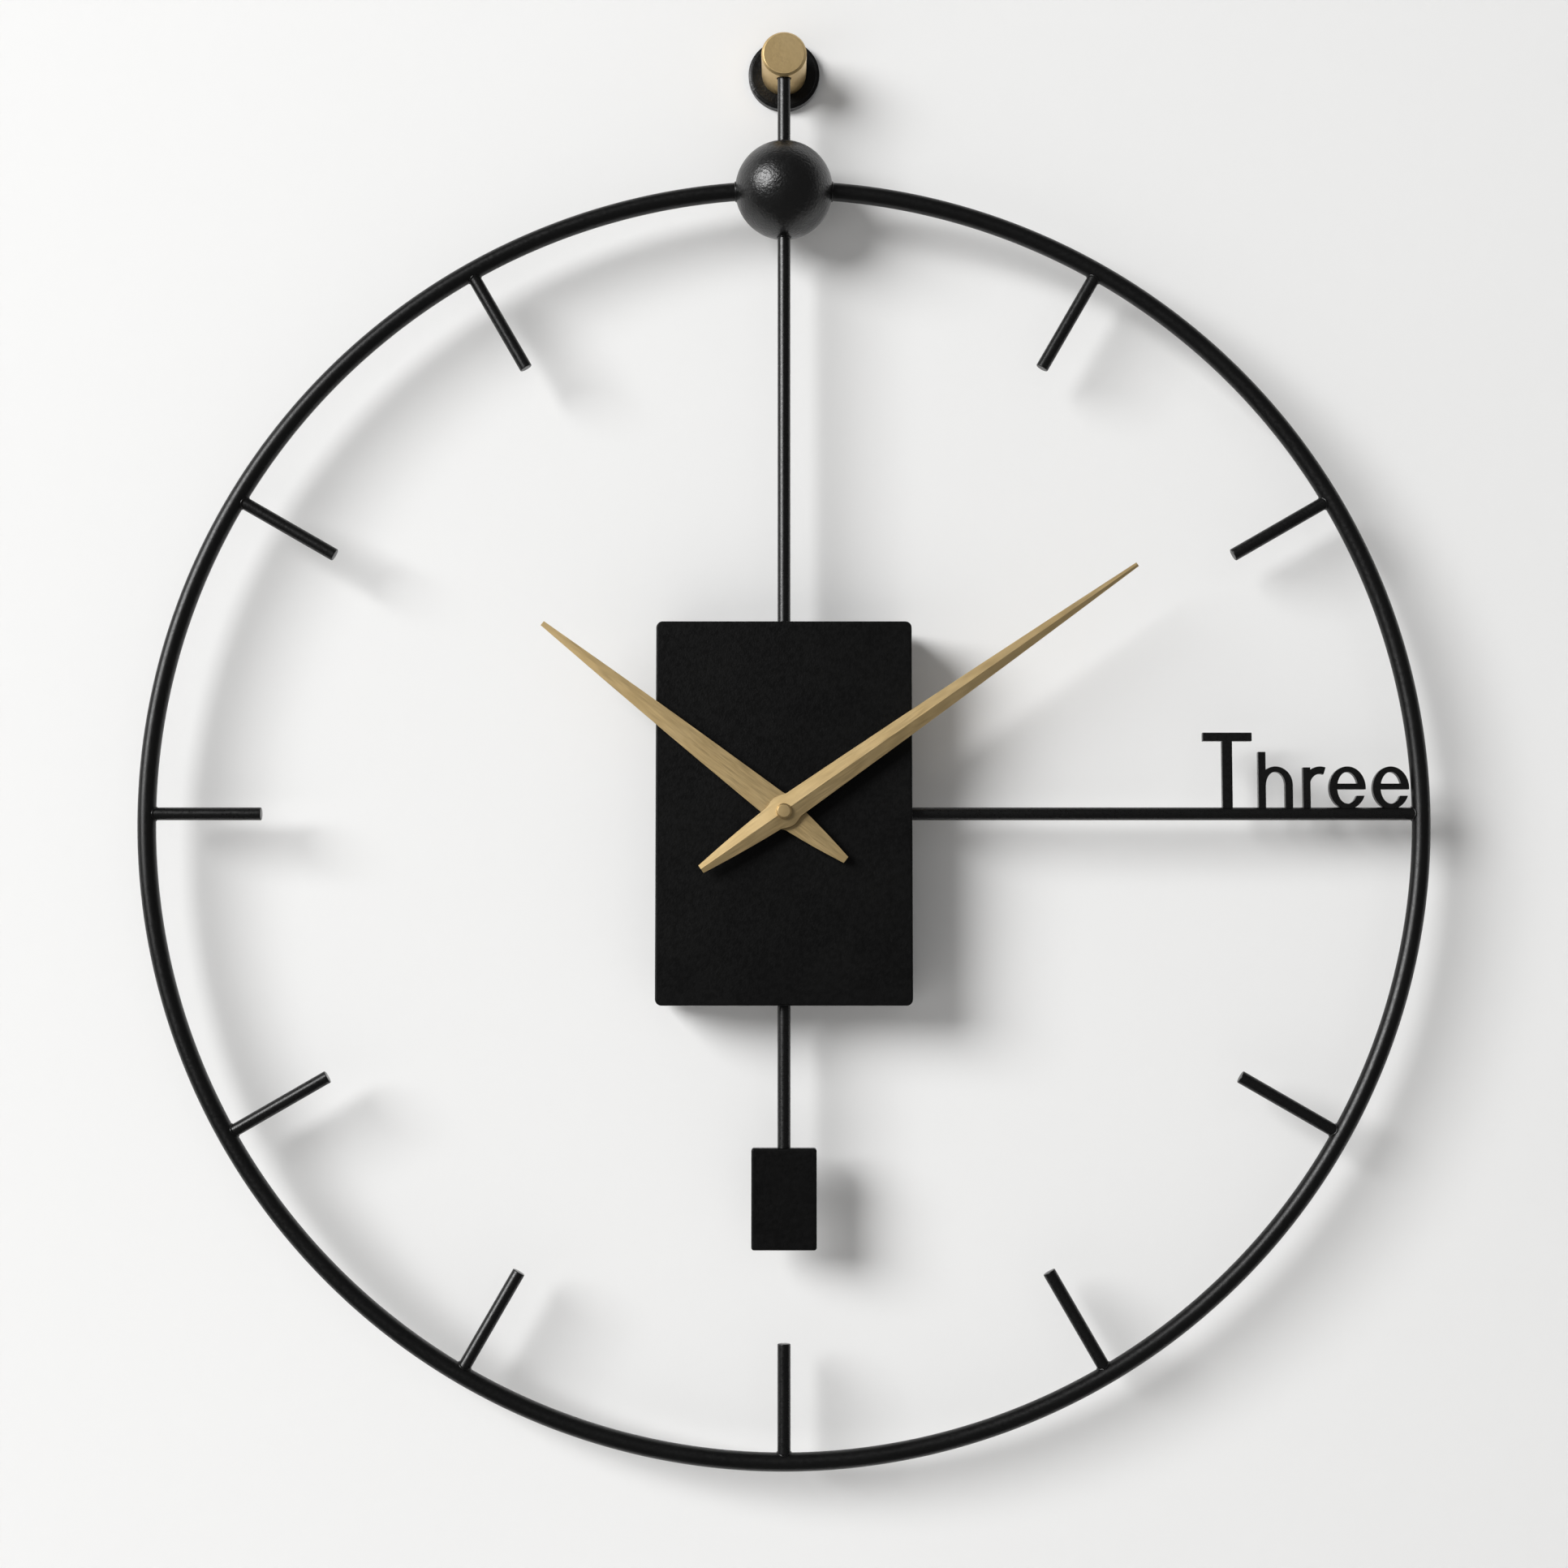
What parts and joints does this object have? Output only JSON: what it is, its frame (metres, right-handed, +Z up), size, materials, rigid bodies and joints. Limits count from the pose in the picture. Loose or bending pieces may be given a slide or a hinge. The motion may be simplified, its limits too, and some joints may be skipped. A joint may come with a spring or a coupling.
{
  "type": "pendulum wall clock",
  "caption": "Wall clock with a large open tube ring, rod hour markers, a box case with two long hands, a spelled-out hour on a bar, and a pendulum hung below the case.",
  "frame": {"origin": "axis of the wall pin, where it meets the wall plane at the back face of the rosette", "axes": "+X to the right of someone facing the clock, +Y into the wall, +Z up"},
  "size_m": [0.7, 0.095, 0.79],
  "materials": {
    "black_powder_coat": "fine-grained satin powder coat over steel",
    "champagne_brass": "satin champagne gold",
    "bright_steel": "bright zinc plate",
    "yellow_brass": "turned brass",
    "black_plastic": "moulded, fine spark texture",
    "white_plastic": "moulded, smooth",
    "rubber": "matt",
    "copper_wire": "lacquered copper winding",
    "circuit_board": "lacquered board",
    "magnet": "dull plated magnet",
    "battery_sleeve": "plain printed sleeve without lettering"
  },
  "bodies": {
    "clock_frame": {"wall_rosette": "black_powder_coat", "hanger_bolt": "bright_steel", "brass_peg": "champagne_brass", "peg_grub_screws": "bright_steel", "suspension_rod": "black_powder_coat", "top_ball": "black_powder_coat", "dial_ring": "black_powder_coat", "hour_marker_1": "black_powder_coat", "hour_marker_2": "black_powder_coat", "hour_marker_4": "black_powder_coat", "hour_marker_5": "black_powder_coat", "hour_marker_6": "black_powder_coat", "hour_marker_7": "black_powder_coat", "hour_marker_8": "black_powder_coat", "hour_marker_9": "black_powder_coat", "hour_marker_10": "black_powder_coat", "hour_marker_11": "black_powder_coat", "three_oclock_bar": "black_powder_coat", "letter_t": "black_powder_coat", "letter_h": "black_powder_coat", "letter_r": "black_powder_coat", "letter_e_1": "black_powder_coat", "letter_e_2": "black_powder_coat", "front_case": "black_powder_coat", "back_panel": "black_powder_coat", "back_panel_screws": "bright_steel", "case_rod_screws": "bright_steel", "movement_back_shell": "black_plastic", "movement_front_shell": "black_plastic", "movement_screws": "bright_steel", "rubber_washer": "rubber", "threaded_bush": "yellow_brass", "brass_washer": "yellow_brass", "hex_nut": "yellow_brass", "motor_stator": "bright_steel", "motor_coil": "copper_wire", "circuit_board": "circuit_board", "quartz_crystal": "bright_steel", "battery_contacts": "bright_steel", "drive_coil": "copper_wire", "pendulum_pivot_pin": "bright_steel"},
    "minute_works": {"minute_arbor": "bright_steel", "centre_wheel": "white_plastic", "minute_hand": "champagne_brass", "cap_nut": "champagne_brass"},
    "hour_works": {"hour_wheel": "white_plastic", "hour_hand": "champagne_brass"},
    "motion_wheel": {"motion_wheel": "white_plastic"},
    "third_wheel": {"third_wheel": "white_plastic"},
    "seconds_wheel": {"seconds_wheel": "white_plastic"},
    "intermediate_wheel": {"intermediate_wheel": "white_plastic"},
    "rotor": {"rotor": "magnet"},
    "setting_knob": {"setting_knob": "black_plastic"},
    "pendulum": {"swing_arm": "white_plastic", "pendulum_magnet": "magnet", "rod_cross_pin": "bright_steel", "pendulum_rod": "black_powder_coat", "pendulum_bob": "black_powder_coat"},
    "battery": {"battery": "battery_sleeve"}
  },
  "joints": [
    {"name": "minute_hand_turn", "type": "hinge", "parent": "clock_frame", "child": "minute_works", "pos_m": [0, 0, -0.42], "axis": [0, 1, 0], "continuous": true},
    {"name": "hour_hand_turn", "type": "hinge", "parent": "clock_frame", "child": "hour_works", "pos_m": [0, 0, -0.42], "axis": [0, 1, 0], "continuous": true},
    {"name": "motion_wheel_turn", "type": "hinge", "parent": "clock_frame", "child": "motion_wheel", "pos_m": [-0.00848, 0, -0.41152], "axis": [0, 1, 0], "continuous": true},
    {"name": "third_wheel_turn", "type": "hinge", "parent": "clock_frame", "child": "third_wheel", "pos_m": [-0.01018, 0, -0.43018], "axis": [0, 1, 0], "continuous": true},
    {"name": "seconds_wheel_turn", "type": "hinge", "parent": "clock_frame", "child": "seconds_wheel", "pos_m": [-0.002, 0, -0.44104], "axis": [0, 1, 0], "continuous": true},
    {"name": "intermediate_wheel_turn", "type": "hinge", "parent": "clock_frame", "child": "intermediate_wheel", "pos_m": [0.01236, 0, -0.43991], "axis": [0, 1, 0], "continuous": true},
    {"name": "rotor_turn", "type": "hinge", "parent": "clock_frame", "child": "rotor", "pos_m": [0.01627, 0, -0.42531], "axis": [0, 1, 0], "continuous": true},
    {"name": "setting_knob_turn", "type": "hinge", "parent": "clock_frame", "child": "setting_knob", "pos_m": [-0.01999, 0, -0.41492], "axis": [0, 1, 0], "continuous": true},
    {"name": "pendulum_swing", "type": "hinge", "parent": "clock_frame", "child": "pendulum", "pos_m": [0, 0, -0.462], "axis": [0, 1, 0], "range_deg": [-6, 6]},
    {"name": "battery_slide", "type": "slide", "parent": "clock_frame", "child": "battery", "axis": [0, 1, 0], "range_m": [0, 0.03]}
  ],
  "couplings": [
    {"joint": "hour_hand_turn", "follows": "minute_hand_turn", "ratio": 0.083333},
    {"joint": "motion_wheel_turn", "follows": "minute_hand_turn", "ratio": -0.33333},
    {"joint": "third_wheel_turn", "follows": "minute_hand_turn", "ratio": -8},
    {"joint": "seconds_wheel_turn", "follows": "minute_hand_turn", "ratio": 60},
    {"joint": "intermediate_wheel_turn", "follows": "minute_hand_turn", "ratio": -300},
    {"joint": "rotor_turn", "follows": "minute_hand_turn", "ratio": 1800},
    {"joint": "setting_knob_turn", "follows": "minute_hand_turn", "ratio": 1}
  ]
}
